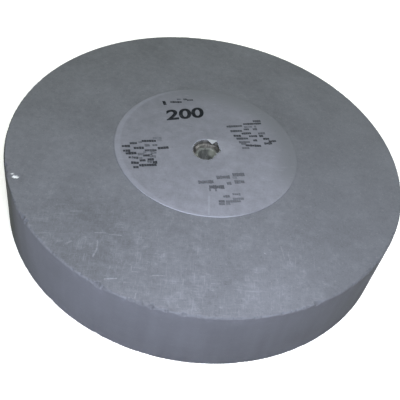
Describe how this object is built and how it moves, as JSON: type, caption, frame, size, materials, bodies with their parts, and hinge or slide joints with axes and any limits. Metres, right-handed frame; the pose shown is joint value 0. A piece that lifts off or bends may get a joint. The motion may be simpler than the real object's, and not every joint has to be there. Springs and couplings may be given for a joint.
{
  "type": "bench grinding wheel",
  "caption": "Straight grey abrasive wheel with a lined arbor hole, nested reducing bushes and paper washers on both faces.",
  "frame": {"origin": "on the wheel's axis, at the underside of the rear paper washer, where the wheel lies flat", "axes": "+Z along the wheel's axis, from the rear face to the front face; +X to the right and +Y away in the picture's view"},
  "size_m": [0.2032, 0.2032, 0.0398],
  "materials": {
    "grey_abrasive": "fine open grain, dull",
    "lining": "cast, dusty",
    "outer_bush": "moulded, dusty",
    "inner_bush": "moulded, dusty",
    "front_paper": "printed blotting paper, scuffed",
    "rear_paper": "plain blotting paper"
  },
  "bodies": {
    "root": {"abrasive_wheel": "grey_abrasive", "arbor_lining": "lining", "outer_reducing_bush": "outer_bush", "inner_reducing_bush": "inner_bush", "front_paper_washer": "front_paper", "rear_paper_washer": "rear_paper"}
  },
  "joints": []
}
